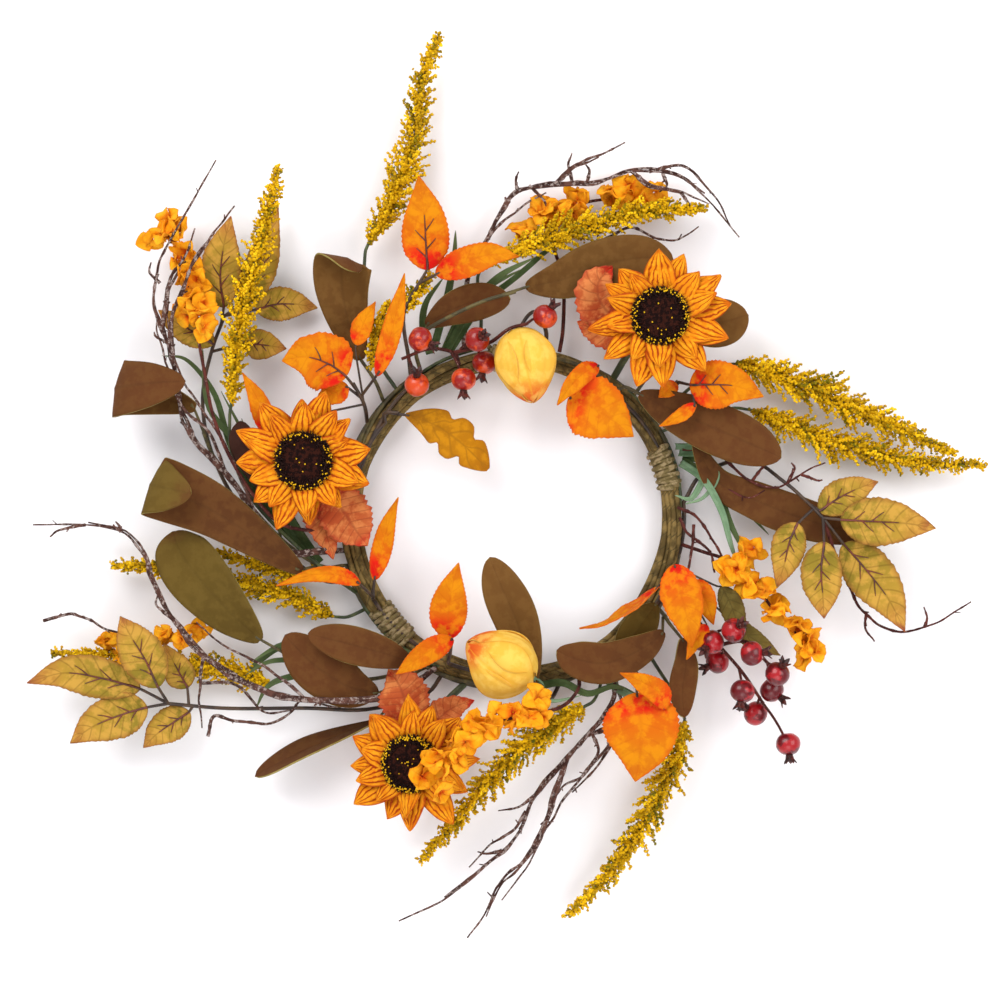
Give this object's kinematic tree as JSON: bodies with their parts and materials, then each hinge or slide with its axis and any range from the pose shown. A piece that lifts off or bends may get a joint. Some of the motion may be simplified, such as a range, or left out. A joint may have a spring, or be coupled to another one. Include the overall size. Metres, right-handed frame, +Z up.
{
  "type": "door wreath",
  "caption": "Harvest door wreath: a ring of taped paper-wrapped stems with sunflower heads that turn, autumn leaf picks, goldenrod, twigs, berries, lantern fruit and small blossoms.",
  "frame": {"origin": "on the door plane, right under the ring's inner top, where a nail or hanger carries the wreath", "axes": "+X to the viewer's right along the width, +Z up, and the front of the wreath faces -Y; the door is the plane y = 0"},
  "size_m": [0.5575, 0.0828, 0.526],
  "materials": {
    "wire": "plain drawn steel, hidden in the bundle",
    "vine": "olive-khaki paper wrap round each stem, matt",
    "tape": "waxed florist's tape, dull and slightly tacky",
    "petal": "printed cloth, golden yellow with rust-red streaks from the root",
    "seed": "dark chocolate flock with a fringed rim of yellow-tipped seeds",
    "stem": "dull green plastic stem, with a rust-red cloth leaf behind the head",
    "magnolia": "flocked suede brown on one side, smooth olive on the other",
    "orange": "printed cloth, orange-yellow with red at the base and a brown plastic rib",
    "green": "printed cloth, olive to ochre with pinkish-brown tips and a brown plastic rib",
    "goldenrod": "clusters of small soft yellow beads on green plastic stems",
    "twig": "dark red-brown bark with pale flecks",
    "berry": "glossy lacquered red, from orange-red to crimson",
    "lantern": "papery cream-yellow cloth with fine ribs and a red tip",
    "blossom": "crumpled orange-yellow cloth with a red-orange centre",
    "oak": "printed cloth, mustard with darker veins"
  },
  "bodies": {
    "root": {"ring_hoop_wire": "wire", "vine_strand_1": "vine", "vine_strand_2": "vine", "vine_strand_3": "vine", "tape_band_top": "tape", "tape_band_right": "tape", "tape_band_lower_left": "tape", "sunflower_right_stem": "stem", "sunflower_left_stem": "stem", "sunflower_bottom_stem": "stem", "magnolia_spray_left": "magnolia", "magnolia_leaf_left": "magnolia", "magnolia_spray_lower_left": "magnolia", "magnolia_leaf_upper_left": "magnolia", "magnolia_spray_top": "magnolia", "magnolia_leaf_upper_right": "magnolia", "magnolia_spray_right": "magnolia", "magnolia_leaf_bottom": "magnolia", "magnolia_spray_lower_right": "magnolia", "orange_pick_top": "orange", "orange_pick_left": "orange", "orange_pick_inner_right": "orange", "orange_leaf_right": "orange", "orange_pick_lower_left": "orange", "orange_pick_bottom_mid": "orange", "orange_pick_lower_right": "orange", "orange_pick_bottom": "orange", "green_spray_lower_left": "green", "green_spray_upper_left": "green", "green_spray_right": "green", "goldenrod_top_left": "goldenrod", "goldenrod_left": "goldenrod", "goldenrod_top": "goldenrod", "goldenrod_right_upper": "goldenrod", "goldenrod_right_lower": "goldenrod", "goldenrod_bottom": "goldenrod", "goldenrod_bottom_right": "goldenrod", "goldenrod_lower_left": "goldenrod", "twig_upper_left": "twig", "twig_left": "twig", "twig_top": "twig", "twig_bottom": "twig", "berries_top": "berry", "berries_lower_right": "berry", "lantern_fruit_top": "lantern", "lantern_fruit_bottom": "lantern", "blossom_spray_upper_left": "blossom", "blossom_spray_top": "blossom", "blossom_spray_right": "blossom", "blossom_spray_bottom": "blossom", "oak_leaf": "oak"},
    "sunflower_right_head": {"sunflower_right_outer_petals": "petal", "sunflower_right_inner_petals": "petal", "sunflower_right_seed_disc": "seed"},
    "sunflower_left_head": {"sunflower_left_outer_petals": "petal", "sunflower_left_inner_petals": "petal", "sunflower_left_seed_disc": "seed"},
    "sunflower_bottom_head": {"sunflower_bottom_outer_petals": "petal", "sunflower_bottom_inner_petals": "petal", "sunflower_bottom_seed_disc": "seed"}
  },
  "joints": [
    {"name": "sunflower_right_turn", "type": "hinge", "parent": "root", "child": "sunflower_right_head", "pos_m": [0.085, -0.04484, 0.02972], "axis": [0, -1, 0], "continuous": true},
    {"name": "sunflower_left_turn", "type": "hinge", "parent": "root", "child": "sunflower_left_head", "pos_m": [-0.12, -0.04484, -0.05328], "axis": [0, -1, 0], "continuous": true},
    {"name": "sunflower_bottom_turn", "type": "hinge", "parent": "root", "child": "sunflower_bottom_head", "pos_m": [-0.057, -0.04484, -0.22728], "axis": [-0.2079, -0.9781, 0], "continuous": true}
  ]
}
